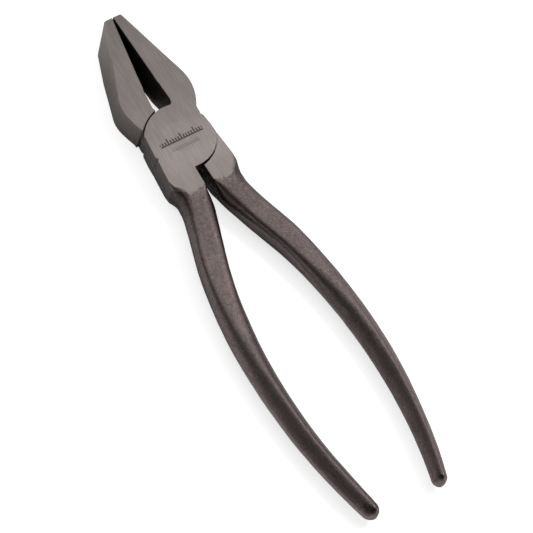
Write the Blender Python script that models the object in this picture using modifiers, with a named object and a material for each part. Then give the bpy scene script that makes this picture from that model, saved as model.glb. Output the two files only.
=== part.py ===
"""Lineman pliers: two forged halves that turn on one flush rivet.

The frame has +Z up, +Y from the pivot towards the nose and +X to the right, with the
origin on the pivot axis in the plane of the underside. The tool lies flat and closed.
The upper half is the right jaw and the left handle, joined by the upper lap. The lower
half is the left jaw and the right handle, joined by the lower lap.
Outlines are in millimetres, and every mesh is in metres.
"""

import math

import bmesh
import bpy
from mathutils import Vector
from mathutils.geometry import interpolate_bezier

OBJECT_NAME = "lineman_pliers"
MM = 0.001

# Driving dimensions, in millimetres
HEAD_THICKNESS = 10.9
JAW_LENGTH = 49.5
HANDLE_REACH = 150.5
LAP_RADIUS = 12.2
SOCKET_RADIUS = 12.9
LAP_GAP = 0.3
BITE_GAP = 0.3
TIP_LEAN = 2.3
LEAN_FROM = 18.0
HANDLE_WIDTH = 10.8
HANDLE_HEIGHT = 11.3
RIVET_RADIUS = 4.0
RIVET_HEAD_RADIUS = 5.2
RIVET_HEAD_DEPTH = 1.2
RIVET_CLEARANCE = 0.1

# Derived values
LAP_PLANE = HEAD_THICKNESS / 2
BITE = BITE_GAP / 2
ROUND_STEPS = 96
OVERSIZE = 2.0
SLAB_WIDTH = 100.0
WELD = 0.01
SMOOTH_ANGLE = math.radians(35.0)

# The steps of the lap's two arcs
LAP_STEPS = 30
FREE_LAP_STEPS = 34

# The jaw's outer edge from the knee to the waist, as one Bezier curve on each face
KNEE_STEPS = 9
TOP_KNEE = [(11.2, 23.7), (13.9, 15.2), (11.4, 11.0), (10.3, 7.6)]
UNDER_KNEE = [(13.1, 21.0), (14.5, 15.8), (12.0, 11.5), (11.2, 9.0)]

# Height of the inner face's crest at the throat, and its depth under the top at the nose
CREST_LOW = 1.0

# The handle's centre line on the +X side, from inside the root to the rounded end
HANDLE_POINTS = [
    (6.9, -13.0), (7.0, -20.0), (8.9, -31.0), (14.55, -50.0), (18.4, -72.0),
    (19.68, -95.0), (18.2, -120.0), (14.9, -140.0), (12.6, -HANDLE_REACH),
]
# Share of the full section at points along the handle, as (y, share)
HANDLE_TAPER = [
    (-13.0, 1.0), (-20.0, 0.985), (-31.0, 0.955), (-60.0, 0.87), (-95.0, 0.8),
    (-125.0, 0.7), (-140.0, 0.635), (-HANDLE_REACH, 0.575),
]

PATH_STEPS = 5
END_ROUND = 3.4
END_STEPS = 5
END_TURN = 80.0
SECTION_STEPS = 24
SECTION_SQUARENESS = 3.0

CUTTERS = "cutters"


def clear_scene():
    """Remove whatever objects the scene holds."""
    for thing in list(bpy.data.objects):
        bpy.data.objects.remove(thing, do_unlink=True)


def make_collection(name):
    """Return a new collection linked to the scene."""
    collection = bpy.data.collections.new(name)
    bpy.context.scene.collection.children.link(collection)
    return collection


def make_material(name, colour, roughness, metallic):
    """Return a Principled material with the given finish."""
    material = bpy.data.materials.new(name)
    material.use_nodes = True
    shader = material.node_tree.nodes["Principled BSDF"]
    shader.inputs["Base Color"].default_value = (*colour, 1.0)
    shader.inputs["Roughness"].default_value = roughness
    shader.inputs["Metallic"].default_value = metallic
    return material


def lean(x, y):
    """The jaws lean to +X, evenly from the cutters to the nose."""
    return x + TIP_LEAN * max(y - LEAN_FROM, 0.0) / (JAW_LENGTH - LEAN_FROM)


def arc(radius, start, end, steps):
    """Points on a circle about the pivot between two angles in degrees."""
    angles = [math.radians(start + (end - start) * i / steps) for i in range(steps + 1)]
    return [(radius * math.cos(a), radius * math.sin(a)) for a in angles]


def knee(corners):
    """The jaw's bulge as points on its Bezier curve."""
    handles = [Vector((x, y, 0.0)) for x, y in corners]
    return [(p.x, p.y) for p in interpolate_bezier(*handles, KNEE_STEPS)]


def smooth_path(points, steps):
    """Catmull-Rom curve through the points, with steps pieces in each span."""
    ends = [Vector(points[0]) * 2 - Vector(points[1])]
    ends += [Vector(p) for p in points]
    ends.append(Vector(points[-1]) * 2 - Vector(points[-2]))
    path = []
    for a, b, c, d in zip(ends, ends[1:], ends[2:], ends[3:]):
        for i in range(steps):
            t = i / steps
            path.append(0.5 * (2 * b + (c - a) * t + (2 * a - 5 * b + 4 * c - d) * t ** 2
                               + (3 * b - a - 3 * c + d) * t ** 3))
    path.append(ends[-2])
    return path


def taper(y):
    """Share of the handle's full section at a place along it."""
    for (y0, share0), (y1, share1) in zip(HANDLE_TAPER, HANDLE_TAPER[1:]):
        if y >= y1:
            return share0 + (share1 - share0) * (y0 - y) / (y0 - y1)
    return HANDLE_TAPER[-1][1]


def link(thing, collection):
    """Link an object to a collection; cutters show as wire and never render."""
    collection.objects.link(thing)
    if collection.name.startswith(CUTTERS):
        thing.hide_render = True
        thing.display_type = "WIRE"
    return thing


def mesh_from_curve(curve_object, collection):
    """Turn a curve object into a welded mesh object of the same name."""
    depsgraph = bpy.context.evaluated_depsgraph_get()
    mesh = bpy.data.meshes.new_from_object(curve_object.evaluated_get(depsgraph))
    shape = bmesh.new()
    shape.from_mesh(mesh)
    bmesh.ops.remove_doubles(shape, verts=shape.verts, dist=WELD * MM)
    bmesh.ops.recalc_face_normals(shape, faces=shape.faces)
    shape.to_mesh(mesh)
    shape.free()
    name = curve_object.name
    place = curve_object.matrix_world.copy()
    bpy.data.objects.remove(curve_object, do_unlink=True)
    solid = link(bpy.data.objects.new(name, mesh), collection)
    solid.matrix_world = place
    return solid


def plate(name, outline, bottom, top, collection):
    """Extrude a flat outline between two heights."""
    data = bpy.data.curves.new(name, "CURVE")
    data.dimensions = "2D"
    data.fill_mode = "BOTH"
    data.extrude = (top - bottom) / 2 * MM
    spline = data.splines.new("POLY")
    spline.points.add(len(outline) - 1)
    for point, (x, y) in zip(spline.points, outline):
        point.co = (x * MM, y * MM, 0.0, 1.0)
    spline.use_cyclic_u = True
    curve_object = bpy.data.objects.new(name, data)
    bpy.context.scene.collection.objects.link(curve_object)
    curve_object.location.z = (top + bottom) / 2 * MM
    bpy.context.view_layer.update()
    return mesh_from_curve(curve_object, collection)


def turned(name, profile, collection):
    """Turn a profile of (radius, height) about the pivot axis, listed top to bottom."""
    mesh = bpy.data.meshes.new(name)
    corners = [(0.0, 0.0, profile[0][1])] + [(r, 0.0, z) for r, z in profile]
    corners.append((0.0, 0.0, profile[-1][1]))
    corners = [tuple(value * MM for value in corner) for corner in corners]
    edges = [(i, i + 1) for i in range(len(corners) - 1)]
    mesh.from_pydata(corners, edges, [])
    solid = link(bpy.data.objects.new(name, mesh), collection)
    screw = solid.modifiers.new("turn", "SCREW")
    screw.steps = ROUND_STEPS
    screw.render_steps = ROUND_STEPS
    screw.use_merge_vertices = True
    screw.merge_threshold = WELD * MM / 10
    screw.use_smooth_shade = True
    return solid


def loft(name, rings, collection):
    """Join closed rings of 3-D points, lowest first, and cap both ends."""
    shape = bmesh.new()
    loops = [[shape.verts.new(tuple(v * MM for v in p)) for p in ring] for ring in rings]
    for low, high in zip(loops, loops[1:]):
        for i in range(len(low)):
            j = (i + 1) % len(low)
            shape.faces.new((low[i], low[j], high[j], high[i]))
    shape.faces.new(reversed(loops[0]))
    shape.faces.new(loops[-1])
    bmesh.ops.triangulate(shape, faces=shape.faces)
    bmesh.ops.recalc_face_normals(shape, faces=shape.faces)
    mesh = bpy.data.meshes.new(name)
    shape.to_mesh(mesh)
    shape.free()
    return link(bpy.data.objects.new(name, mesh), collection)


def jaw(name, side, collection):
    """One jaw: narrow on top, wider underneath, with a bevelled inner face."""
    top_outer = [(2.85, JAW_LENGTH), (3.0, JAW_LENGTH - 0.25)] + knee(TOP_KNEE)
    under_outer = [(3.3, JAW_LENGTH - 0.5), (7.75, 43.7)] + knee(UNDER_KNEE)
    top_inner = [
        (10.2, 5.2), (8.0, 2.0), (3.0, 7.0), (2.9, 11.9), (3.3, 12.7), (3.45, 13.6),
        (2.9, 20.0), (2.3, 27.0), (BITE, JAW_LENGTH),
    ]
    crest_inner = [
        (10.7, 5.2), (8.0, 2.0), (2.8, 7.0), (2.8, 11.9), (2.8, 12.7), (2.2, 15.0),
        (0.9, 20.0), (BITE, 26.0), (BITE, JAW_LENGTH - 0.1),
    ]
    top = [(x, y, HEAD_THICKNESS) for x, y in top_outer + top_inner]
    under = [(x, y, 0.0) for x, y in under_outer + crest_inner]
    crest_height = {26.0: 1.8, JAW_LENGTH - 0.1: HEAD_THICKNESS - CREST_LOW}
    crest = []
    for (x0, y0, z0), (x1, y1, z1) in zip(under, top):
        height = crest_height.get(y0, CREST_LOW)
        share = height / HEAD_THICKNESS
        if x0 > 1.0:
            crest.append((x0 + (x1 - x0) * share, y0 + (y1 - y0) * share, height))
        else:
            crest.append((x0, y0, height))
    rings = [[(lean(side * x, y), y, z) for x, y, z in ring] for ring in (under, crest, top)]
    return loft(name, rings, collection)


def lap(name, side, bottom, top, collection):
    """The half-thickness disc that carries the rivet."""
    outline = [(10.1, 5.2), (10.6, 4.3), (11.3, -2.0)]
    outline += arc(LAP_RADIUS, -21.0, -97.0, LAP_STEPS)
    outline += [(-4.0, -14.0), (-9.0, -11.0), (-11.0, -4.3), (-11.85, -3.1), (-11.0, 5.2)]
    outline += arc(LAP_RADIUS, 154.0, 70.0, FREE_LAP_STEPS)
    outline += [(5.5, 10.0)]
    return plate(name, [(side * x, y) for x, y in outline], bottom, top, collection)


def root(name, side, collection):
    """The full-thickness block between the lap and the handle."""
    outline = [
        (1.5, -11.5), (3.0, -8.0), (10.0, -3.6), (11.6, -4.7), (12.5, -14.5),
        (12.2, -17.0), (10.6, -19.5), (3.6, -19.5), (1.75, -17.5),
    ]
    return plate(name, [(side * x, y) for x, y in outline], 0.0, HEAD_THICKNESS, collection)


def section():
    """The handle's cross-section: a rounded box, as a superellipse."""
    power = 2 / SECTION_SQUARENESS
    points = []
    for i in range(SECTION_STEPS):
        angle = 2 * math.pi * i / SECTION_STEPS
        c = math.cos(angle)
        s = math.sin(angle)
        x = math.copysign(abs(c) ** power, c) * HANDLE_WIDTH / 2
        y = math.copysign(abs(s) ** power, s) * HANDLE_HEIGHT / 2
        points.append((x, y))
    return points


def handle_stations():
    """Points along the handle as (x, y, share of section), with a rounded end."""
    path = smooth_path(HANDLE_POINTS, PATH_STEPS)
    end = path[-1]
    along = (end - path[-2]).normalized()
    stations = [(p.x, p.y, taper(p.y)) for p in path if (end - p).length > END_ROUND]
    for i in range(END_STEPS + 1):
        angle = math.radians(90.0 - i * END_TURN / END_STEPS)
        place = end - along * END_ROUND * (1.0 - math.cos(angle))
        stations.append((place.x, place.y, taper(place.y) * math.sin(angle)))
    return stations


def handle(name, side, collection):
    """A bowed handle that thins towards a rounded end."""
    profile_data = bpy.data.curves.new(name + "_section", "CURVE")
    profile_data.dimensions = "2D"
    spline = profile_data.splines.new("POLY")
    outline = section()
    spline.points.add(len(outline) - 1)
    for point, (x, y) in zip(spline.points, outline):
        point.co = (x * MM, y * MM, 0.0, 1.0)
    spline.use_cyclic_u = True
    profile = bpy.data.objects.new(name + "_section", profile_data)
    bpy.context.scene.collection.objects.link(profile)

    data = bpy.data.curves.new(name, "CURVE")
    data.dimensions = "3D"
    data.twist_mode = "Z_UP"
    data.bevel_mode = "OBJECT"
    data.bevel_object = profile
    data.use_fill_caps = True
    stations = handle_stations()
    spline = data.splines.new("POLY")
    spline.points.add(len(stations) - 1)
    for point, (x, y, share) in zip(spline.points, stations):
        point.co = (side * x * MM, y * MM, LAP_PLANE * MM, 1.0)
        point.radius = share
    curve_object = bpy.data.objects.new(name, data)
    bpy.context.scene.collection.objects.link(curve_object)
    bpy.context.view_layer.update()
    solid = mesh_from_curve(curve_object, collection)
    bpy.data.objects.remove(profile, do_unlink=True)
    solid.data.shade_smooth()
    solid.data.set_sharp_from_angle(angle=SMOOTH_ANGLE)
    return solid


def boolean(body, tool, operation):
    """Add a Boolean with one other solid to a body."""
    modifier = body.modifiers.new(tool.name, "BOOLEAN")
    modifier.operation = operation
    modifier.object = tool
    modifier.solver = "EXACT"


def cylinder(name, radius, bottom, top, collection):
    """An upright cylinder about the pivot axis."""
    bpy.ops.mesh.primitive_cylinder_add(
        vertices=ROUND_STEPS, radius=radius * MM, depth=(top - bottom) * MM,
        location=(0.0, 0.0, (bottom + top) / 2 * MM))
    solid = bpy.context.object
    solid.name = name
    for other in list(solid.users_collection):
        other.objects.unlink(solid)
    return link(solid, collection)


def slab(name, bottom, top, collection):
    """A block wider than the whole tool, between two heights."""
    bpy.ops.mesh.primitive_cube_add(
        size=1.0, location=(0.0, -HANDLE_REACH / 2 * MM, (bottom + top) / 2 * MM))
    solid = bpy.context.object
    solid.name = name
    solid.scale = (SLAB_WIDTH * MM, 2 * HANDLE_REACH * MM, (top - bottom) * MM)
    for other in list(solid.users_collection):
        other.objects.unlink(solid)
    return link(solid, collection)


def rivet_profile(clearance, overrun):
    """The rivet's outline, top to bottom, grown by a clearance and run past the faces."""
    head = RIVET_HEAD_RADIUS + clearance
    shank = RIVET_RADIUS + clearance
    high = HEAD_THICKNESS
    return [
        (head, high + overrun), (head, high), (shank, high - RIVET_HEAD_DEPTH),
        (shank, RIVET_HEAD_DEPTH), (head, 0.0), (head, -overrun),
    ]


def half(name, jaw_side, lap_low, lap_high, parts, cutters):
    """One half of the tool: a jaw, its lap, and the handle on the other side.

    The socket clears the other half's lap, in the half of the thickness that this
    half's own lap doesn't fill.
    """
    body = jaw(name, jaw_side, parts)
    if lap_low > 0.0:
        socket_low, socket_high = -OVERSIZE, lap_low
    else:
        socket_low, socket_high = lap_high, HEAD_THICKNESS + OVERSIZE
    high = HEAD_THICKNESS
    joined = [
        lap(name + "_lap", jaw_side, lap_low, lap_high, cutters),
        root(name + "_root", -jaw_side, cutters),
        handle(name + "_handle", -jaw_side, cutters),
    ]
    removed = [
        cylinder(name + "_socket", SOCKET_RADIUS, socket_low, socket_high, cutters),
        slab(name + "_face_grind", high, high + OVERSIZE, cutters),
        slab(name + "_under_grind", -OVERSIZE, 0.0, cutters),
        turned(name + "_bore", rivet_profile(RIVET_CLEARANCE, OVERSIZE / 2), cutters),
    ]
    for piece in joined:
        boolean(body, piece, "UNION")
    for piece in removed:
        boolean(body, piece, "DIFFERENCE")
    return body


def build():
    """Make the two halves and the rivet."""
    clear_scene()
    parts = make_collection(OBJECT_NAME)
    cutters = make_collection(CUTTERS)

    upper = half("upper_half", 1, LAP_PLANE + LAP_GAP / 2, HEAD_THICKNESS, parts, cutters)
    lower = half("lower_half", -1, 0.0, LAP_PLANE - LAP_GAP / 2, parts, cutters)
    rivet = turned("pivot_rivet", rivet_profile(0.0, 0.0)[1:-1], parts)

    forged = make_material("forged_steel", (0.18, 0.16, 0.16), 0.42, 1.0)
    ground = make_material("ground_steel", (0.30, 0.28, 0.275), 0.38, 1.0)
    for body in (upper, lower):
        body.data.materials.append(forged)
    rivet.data.materials.append(ground)


build()
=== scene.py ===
"""Lineman pliers: the finished look of two forged halves and the rivet they turn on.

Laid out as an add-on and run as a script. Lengths in the formulas are millimetres in the
tool's own frame: +Y from the pivot to the nose, +X to the right, +Z up, underside at z = 0.
"""

import math

import bpy
import numpy as np
from mathutils import Matrix, Vector


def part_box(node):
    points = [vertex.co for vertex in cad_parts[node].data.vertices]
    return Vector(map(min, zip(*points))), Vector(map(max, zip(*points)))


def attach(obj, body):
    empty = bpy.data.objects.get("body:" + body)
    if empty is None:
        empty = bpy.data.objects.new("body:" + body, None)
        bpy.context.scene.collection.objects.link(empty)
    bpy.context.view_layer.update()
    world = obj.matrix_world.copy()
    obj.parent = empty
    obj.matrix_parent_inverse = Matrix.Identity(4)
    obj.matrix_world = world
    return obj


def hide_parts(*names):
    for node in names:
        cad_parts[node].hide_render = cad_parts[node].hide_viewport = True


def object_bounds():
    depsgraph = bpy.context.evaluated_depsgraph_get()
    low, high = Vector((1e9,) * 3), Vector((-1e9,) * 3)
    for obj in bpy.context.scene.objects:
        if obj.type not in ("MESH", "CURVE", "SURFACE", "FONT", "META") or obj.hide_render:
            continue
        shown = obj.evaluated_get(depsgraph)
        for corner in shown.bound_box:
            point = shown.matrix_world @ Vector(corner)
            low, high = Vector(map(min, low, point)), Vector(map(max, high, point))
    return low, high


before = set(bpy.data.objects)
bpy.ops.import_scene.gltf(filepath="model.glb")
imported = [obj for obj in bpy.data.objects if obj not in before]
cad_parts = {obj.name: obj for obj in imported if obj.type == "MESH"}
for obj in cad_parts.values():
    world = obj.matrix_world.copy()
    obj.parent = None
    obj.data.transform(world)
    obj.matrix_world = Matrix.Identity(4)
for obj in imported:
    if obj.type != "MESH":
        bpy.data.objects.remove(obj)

bl_info = {
    "name": "Lineman Pliers",
    "version": (1, 0, 0),
    "blender": (4, 5, 0),
    "location": "View3D > Sidebar > Pliers",
    "description": "Builds a pair of bare forged lineman pliers with a studio stage",
    "category": "Add Mesh",
}

MM = 0.001
CREASE_ANGLE = math.radians(38.0)
ROUND_STEPS = 128
CAD_LOW, CAD_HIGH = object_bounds()
HEAD_LOW, HEAD_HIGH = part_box("upper_half")
RIVET_LOW, RIVET_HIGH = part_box("pivot_rivet")


# ---------------------------------------------------------------- properties

class PliersSizes(bpy.types.PropertyGroup):
    """Sizes of the tool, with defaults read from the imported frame."""

    head_thickness: bpy.props.FloatProperty(
        name="Head thickness", description="Between the two ground faces",
        default=HEAD_HIGH.z - HEAD_LOW.z, unit="LENGTH")
    nose: bpy.props.FloatProperty(
        name="Nose", description="From the pivot to the end of the jaws",
        default=CAD_HIGH.y, unit="LENGTH")
    handle_reach: bpy.props.FloatProperty(
        name="Handle reach", description="From the pivot to the end of the handles",
        default=-CAD_LOW.y, unit="LENGTH")
    lap_radius: bpy.props.FloatProperty(
        name="Lap radius", description="Radius of the round lap at the joint",
        default=0.0122, unit="LENGTH")
    socket_radius: bpy.props.FloatProperty(
        name="Socket radius", description="Radius of the seat that clears the lap",
        default=0.0129, unit="LENGTH")
    edge_radius: bpy.props.FloatProperty(
        name="Edge radius", description="Rounding of the head's ground edges",
        default=0.00018, unit="LENGTH")
    tooth_pitch: bpy.props.FloatProperty(
        name="Tooth pitch", description="Spacing of the gripping teeth",
        default=0.0014, unit="LENGTH")
    tooth_depth: bpy.props.FloatProperty(
        name="Tooth depth", description="Depth of the gripping teeth",
        default=0.00035, unit="LENGTH")
    rivet_radius: bpy.props.FloatProperty(
        name="Rivet head radius", description="Radius of the flush rivet head",
        default=(RIVET_HIGH.x - RIVET_LOW.x) / 2, unit="LENGTH")


class PliersFinish(bpy.types.PropertyGroup):
    """Colours of the steel, and of the stage."""

    ground: bpy.props.FloatVectorProperty(
        name="Ground steel", description="The satin head", subtype="COLOR",
        default=(0.38, 0.334, 0.32), min=0.0, max=1.0)
    forged: bpy.props.FloatVectorProperty(
        name="Forged steel", description="The scaled handles", subtype="COLOR",
        default=(0.217, 0.172, 0.168), min=0.0, max=1.0)
    # The worn colour also paints the forge scale's glints, which are painted highlights
    worn_and_glint: bpy.props.FloatVectorProperty(
        name="Worn edge", description="Bright steel where edges rub", subtype="COLOR",
        default=(0.62, 0.58, 0.56), min=0.0, max=1.0)
    etch: bpy.props.FloatVectorProperty(
        name="Etched scale", description="The dark etched length scale", subtype="COLOR",
        default=(0.06, 0.05, 0.05), min=0.0, max=1.0)
    floor: bpy.props.FloatVectorProperty(
        name="Floor", description="The pale stage", subtype="COLOR",
        default=(0.9, 0.9, 0.9), min=0.0, max=1.0)


# ---------------------------------------------------------------- curves in plan

def bezier(corners, steps):
    """Cubic Bezier through four corners: the Bernstein weights of t times the corners."""
    t = np.linspace(0.0, 1.0, steps)[:, None]
    a, b, c, d = (np.array(corner, float) for corner in corners)
    return (1 - t) ** 3 * a + 3 * t * (1 - t) ** 2 * b + 3 * t ** 2 * (1 - t) * c + t ** 3 * d


def arc(radius, start, end, steps):
    """Circle about the pivot: radius times the cosine and sine of evenly spaced angles."""
    angle = np.radians(np.linspace(start, end, steps))
    return np.stack([radius * np.cos(angle), radius * np.sin(angle)], 1)


def along(points, where):
    """Points at shares of a polyline's length: each axis interpolated over arc length."""
    points = np.asarray(points, float)
    run = np.r_[0.0, np.cumsum(np.linalg.norm(np.diff(points, axis=0), axis=1))]
    share = np.asarray(where) * run[-1]
    return np.stack([np.interp(share, run, points[:, k]) for k in (0, 1)], 1)


def at_height(points, y):
    """Where a curve that falls in y crosses each given y."""
    points = np.asarray(points, float)[::-1]
    return np.stack([np.interp(y, points[:, 1], points[:, 0]), y], 1)


def smooth_curve(y, places, values):
    """A cubic through a few values at falling places, with Catmull-Rom slopes."""
    places = -np.asarray(places, float)
    values = np.asarray(values, float)
    slopes = np.gradient(values, places)
    k = np.clip(np.searchsorted(places, -y) - 1, 0, len(places) - 2)
    span = places[k + 1] - places[k]
    t = np.clip((-y - places[k]) / span, 0.0, 1.0)
    return ((2 * t ** 3 - 3 * t ** 2 + 1) * values[k] + (t ** 3 - 2 * t ** 2 + t) * span * slopes[k]
            + (3 * t ** 2 - 2 * t ** 3) * values[k + 1] + (t ** 3 - t ** 2) * span * slopes[k + 1])


def smoothstep(low, high, x):
    """0 below low, 1 above high, and 3t^2 - 2t^3 between."""
    t = np.clip((x - low) / (high - low), 0.0, 1.0)
    return t * t * (3 - 2 * t)


def value_noise(points, scale, seed):
    """Smooth noise in -1..1: random values on a lattice, blended by smoothstep weights."""
    table = np.random.default_rng(seed).uniform(-1.0, 1.0, 4096)
    place = points / scale
    cell = np.floor(place).astype(np.int64)
    part = place - cell
    part = part * part * (3 - 2 * part)
    total = 0.0
    for corner in range(8):
        step = np.array([corner & 1, corner >> 1 & 1, corner >> 2 & 1])
        lattice = cell + step
        key = (lattice[..., 0] * 73 + lattice[..., 1] * 1259 + lattice[..., 2] * 3637) % 4096
        weight = np.where(step == 1, part, 1 - part).prod(-1)
        total = total + table[key] * weight
    return total


# ---------------------------------------------------------------- the halves

ROWS = {"nose": 5, "corner": 5, "grip": 53, "cutter": 46, "lap": 90, "root": 44,
        "handle": 290, "end": 12}
FLAT_COLUMNS = 25
CORNER_COLUMNS = 11
WALL_COLUMNS = 7
# How far both jaws are moved towards +X at rising y
LEAN_Y = [6.0, 12.5, 20.0, 49.5]
LEAN_X = [0.0, 0.45, 0.6, 2.3]
BITE = 0.15
LAP_GAP = 0.3
STEP_CHAMFER = 0.15
DRAFT = 0.055

# The outer edge of a jaw, nose to waist, on the top face and on the underside
NOSE_HALF = 3.25
UNDER_NOSE = [(3.6, 49.0), (7.85, 43.7)]
UNDER_MIDDLE = (11.1, 33.0)
TOP_KNEE = [(12.2, 21.6), (13.9, 16.3), (12.2, 10.9), (10.4, 7.6)]
UNDER_KNEE = [(13.8, 21.0), (15.3, 15.8), (12.8, 11.2), (11.9, 8.6)]
# The inner edge of a jaw on the top face, with a small nick where the cutter starts
TOP_INNER = [
    (BITE, 49.5), (2.3, 27.0), (2.75, 21.4), (2.95, 21.1), (3.4, 14.2), (3.35, 13.2), (3.1, 12.55),
]
# The crest of the inner face: the flat grip above y = 26, the cutter and its relief below
CREST = [(BITE, 49.5), (BITE, 26.0), (0.9, 20.0), (2.0, 15.6), (2.9, 12.55)]
THROAT_Y = 12.55
WAIST_Y = 7.7
GRIP_END_Y = 31.0
# The root, from the socket to where the handle's own section starts
ROOT_Y = -24.0
ROOT_LEFT = [(-11.45, -4.75), (-11.5, -5.05), (-12.5, -15.8), (-12.25, -17.0), (-11.8, -20.0)]
ROOT_RIGHT = [(-1.5, -13.1), (-1.7, -20.0)]
# The two handles' centre lines and half widths at falling y. They differ a little
HANDLE_Y = [-20.0, -25.0, -31.0, -50.0, -72.0, -95.0, -120.0, -140.0, -150.5]
HANDLE_X = {"upper_half": [6.4, 7.2, 8.95, 14.6, 18.45, 19.6, 18.1, 14.7, 12.5],
            "lower_half": [6.35, 7.05, 8.65, 14.5, 18.4, 19.85, 18.4, 15.1, 12.5]}
HALF_WIDTH = {"upper_half": [5.45, 5.45, 5.3, 4.9, 4.8, 4.45, 4.05, 3.62, 3.1],
              "lower_half": [5.3, 5.3, 5.1, 4.7, 4.7, 4.35, 3.6, 3.0, 2.6]}
ROUNDNESS = 0.68
# The power of the handle's superellipse section, and where the section turns into it
OVAL_FROM, OVAL_FULL = -26.0, -45.0
OVAL_Y = [-40.0, -50.0, -60.0, -75.0, -100.0, -125.0, -150.5]
OVAL_POWER = [3.6, 3.2, 2.3, 1.65, 1.34, 1.3, 1.45]
# The ridges of both handles are moved the same way, towards +X, by this much at full
# height. A mirrored pair would lean opposite ways
RIDGE_SHIFT = 0.95
RIDGE_FROM, RIDGE_FULL = -50.0, -110.0
# Half the forging's height at its edges, and its crown. Above half the head it is ground off
FORGE_Y = [-12.0, -19.2, -22.0, -25.0, -31.0, -50.0, -72.0, -95.0, -120.0, -140.0, -150.5]
FORGE_HEIGHT = [8.5, 5.45, 5.05, 4.75, 4.5, 4.3, 4.05, 3.75, 3.35, 3.05, 2.9]
FORGE_CROWN = [0.2, 0.2, 0.25, 0.4, 0.6, 0.66, 0.64, 0.6, 0.56, 0.52, 0.5]
# Numbers that multiply the steel's own colour, at rising y: on both faces, on the right
# wall of a half before it is mirrored, and on its left wall. They are listed, and
# part of what they give is shade, so it stays on the steel however it is lit
# The three tone tables are painted shade and painted light as well as tone: under 1 the steel is painted
# darker, over 1 lighter
TONE_AND_SHADE_Y = [-120.0, -90.0, -60.0, -34.0, -27.0, -20.0, -14.0, -9.0, 0.0, 6.0, 12.0, 20.0, 30.0, 44.0, 49.5]
FACE_TONE_AND_SHADE = [1.1, 1.05, 1.0, 0.9, 0.85, 0.97, 1.02, 1.14, 1.0, 0.91, 0.84, 0.78, 0.78, 0.68, 0.64]
RIGHT_TONE_AND_SHADE = [1.15, 1.1, 1.1, 1.0, 0.9, 0.72, 0.6, 0.57, 0.56, 0.56, 0.68, 0.72, 0.85, 1.15, 1.2]
LEFT_TONE_AND_SHADE = [1.3, 1.2, 1.1, 1.0, 0.9, 0.6, 0.5, 0.5, 0.55, 0.6, 0.75, 0.6, 0.35, 0.35, 0.35]
# How much darker the lower half of a handle is made, which is shade too
UNDER_SHADE = 0.6
# How far each edge has grown from the head's small radius to the handle's full one
ROUND_OUTER = ([13.2, 15.2, 18.6, 21.0], [0.0, 0.27, 0.9, 1.0])
ROUND_INNER = ([18.5, 20.0, 22.0, 25.0], [0.0, 0.12, 0.55, 1.0])


def table_of_rows(left, left_foot, right, right_foot, crest, bow, low, high,
                  grip=0.0, square=False, scale=1.0):
    """One entry a row: plan points of both edges, heights, and what shapes the section."""
    count = len(left)
    rows = {"left": left, "left_foot": left_foot, "right": right, "right_foot": right_foot}
    numbers = {"crest": crest, "bow": bow, "low": low, "high": high,
               "grip": grip, "square": square, "scale": scale}
    rows.update({key: np.broadcast_to(np.asarray(value), count) for key, value in numbers.items()})
    return rows


def jaw_rows(sizes, thick):
    """Rows of the jaw, from the nose to the throat, left, inner edge to right, outer edge.

    The first rows draw in by a quarter circle, which rounds the nose. Over the next few the
    foot of the outer wall runs along the cut-off corner of the nose, so from there on the
    wall leans outwards as it goes down.
    """
    edge = sizes.edge_radius / MM
    pitch = sizes.tooth_pitch / MM
    nose_y = sizes.nose / MM
    turn = np.radians(np.linspace(0.0, 90.0, ROWS["nose"], endpoint=False))
    inset = np.r_[edge * (1 - np.sin(turn)), np.zeros(ROWS["corner"])]
    corner = np.r_[np.zeros(ROWS["nose"]), np.linspace(0.0, 1.0, ROWS["corner"], endpoint=False)]
    front_y = nose_y - np.r_[edge * (1 - np.cos(turn)), edge + 0.1 * corner[ROWS["nose"]:]]
    start, end = np.array(UNDER_NOSE)
    front = table_of_rows(
        np.stack([BITE + inset, front_y], 1), np.stack([BITE + inset, front_y], 1),
        np.stack([NOSE_HALF - inset, front_y], 1),
        start + corner[:, None] * (end - start) + np.stack([-inset, front_y - nose_y + edge], 1),
        thick - 1.3, 0.0, inset, thick - inset, 0.0, corner < 0.3)
    grip_y = front_y[-1] - 0.05 - pitch / 4 * np.arange(ROWS["grip"])
    left_y = np.r_[grip_y, np.linspace(grip_y[-1], THROAT_Y, ROWS["cutter"] + 1)[1:]]
    share = (left_y[0] - left_y) / (left_y[0] - THROAT_Y)
    top_edge = np.vstack([[(NOSE_HALF, nose_y)], bezier(TOP_KNEE, 60)])
    under_edge = np.vstack([end, UNDER_MIDDLE, bezier(UNDER_KNEE, 60)])
    back = table_of_rows(
        at_height(TOP_INNER, left_y), at_height(CREST, left_y),
        at_height(top_edge, left_y[0] - share * (left_y[0] - WAIST_Y)),
        at_height(under_edge, end[1] - share * (end[1] - WAIST_Y)),
        np.interp(left_y, [20.0, 26.0, nose_y], [1.0, 1.9, thick - 1.3]),
        0.66 * smoothstep(-30.0, -THROAT_Y, -left_y), 0.0, thick,
        smoothstep(GRIP_END_Y - 1.0, GRIP_END_Y, left_y))
    return [front, back]


def upright(left, right, low, high, bow, left_draft=0.0, right_draft=0.0, **shape):
    """Rows whose walls stand upright, or come out towards the underside by a draft, a
    share of the height below the top face."""
    crest = (np.asarray(low) + np.asarray(high)) / 2
    sideways = np.array([1.0, 0.0])
    count = len(left)
    left_draft = np.broadcast_to(left_draft, count)[:, None] * sideways
    right_draft = np.broadcast_to(right_draft, count)[:, None] * sideways
    below_high = np.broadcast_to(HEAD_HIGH.z / MM - high, count)[:, None]
    below_low = np.broadcast_to(HEAD_HIGH.z / MM - low, count)[:, None]
    return table_of_rows(left - left_draft * below_high, left - left_draft * below_low,
                         right + right_draft * below_high, right + right_draft * below_low,
                         crest, bow, low, high, **shape)


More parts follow.
